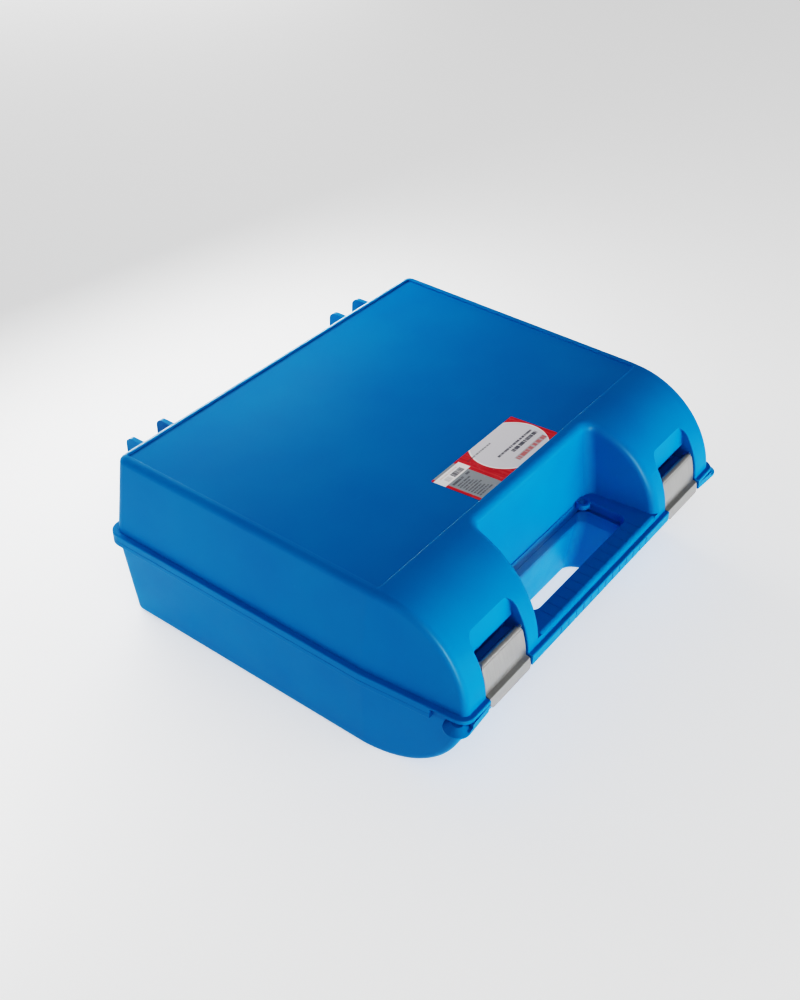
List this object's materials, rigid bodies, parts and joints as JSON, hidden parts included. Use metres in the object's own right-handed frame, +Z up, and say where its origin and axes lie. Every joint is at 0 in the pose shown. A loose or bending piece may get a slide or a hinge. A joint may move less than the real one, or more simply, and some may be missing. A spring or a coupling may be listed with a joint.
{
  "type": "hard carrying case for a power tool",
  "caption": "Moulded two-shell carrying case with a rounded front, a hand grip through a recess, rear hinge fins that serve as feet and sheet-metal front latches.",
  "frame": {"origin": "on the floor, under the middle of the case's bounding box", "axes": "+Z up through the lid, +Y towards the hinges, +X to the right of someone who faces the grip"},
  "size_m": [0.3302, 0.3054, 0.1302],
  "materials": {
    "blue_shell": "moulded polypropylene, fine satin grain with a soft gloss",
    "latch_steel": "bent stainless sheet, fine brushing along its height",
    "pin_steel": "drawn zinc-plated wire",
    "printed_label": null
  },
  "bodies": {
    "base": {"base_shell": "blue_shell", "right_hinge_pin": "pin_steel", "left_hinge_pin": "pin_steel"},
    "lid": {"lid_shell": "blue_shell", "lid_label": "printed_label", "right_latch_pin": "pin_steel", "left_latch_pin": "pin_steel"},
    "right_latch": {"right_latch_plate": "latch_steel"},
    "left_latch": {"left_latch_plate": "latch_steel"}
  },
  "joints": [
    {"name": "lid_hinge", "type": "hinge", "parent": "base", "child": "lid", "pos_m": [0, 0.1442, 0.0651], "axis": [-1, 0, 0], "range_deg": [0, 108]},
    {"name": "right_latch_hinge", "type": "hinge", "parent": "lid", "child": "right_latch", "pos_m": [0.1109, -0.14005, 0.0889], "axis": [-1, 0, 0], "range_deg": [0, 160]},
    {"name": "left_latch_hinge", "type": "hinge", "parent": "lid", "child": "left_latch", "pos_m": [-0.1109, -0.14005, 0.0889], "axis": [-1, 0, 0], "range_deg": [0, 160]}
  ]
}
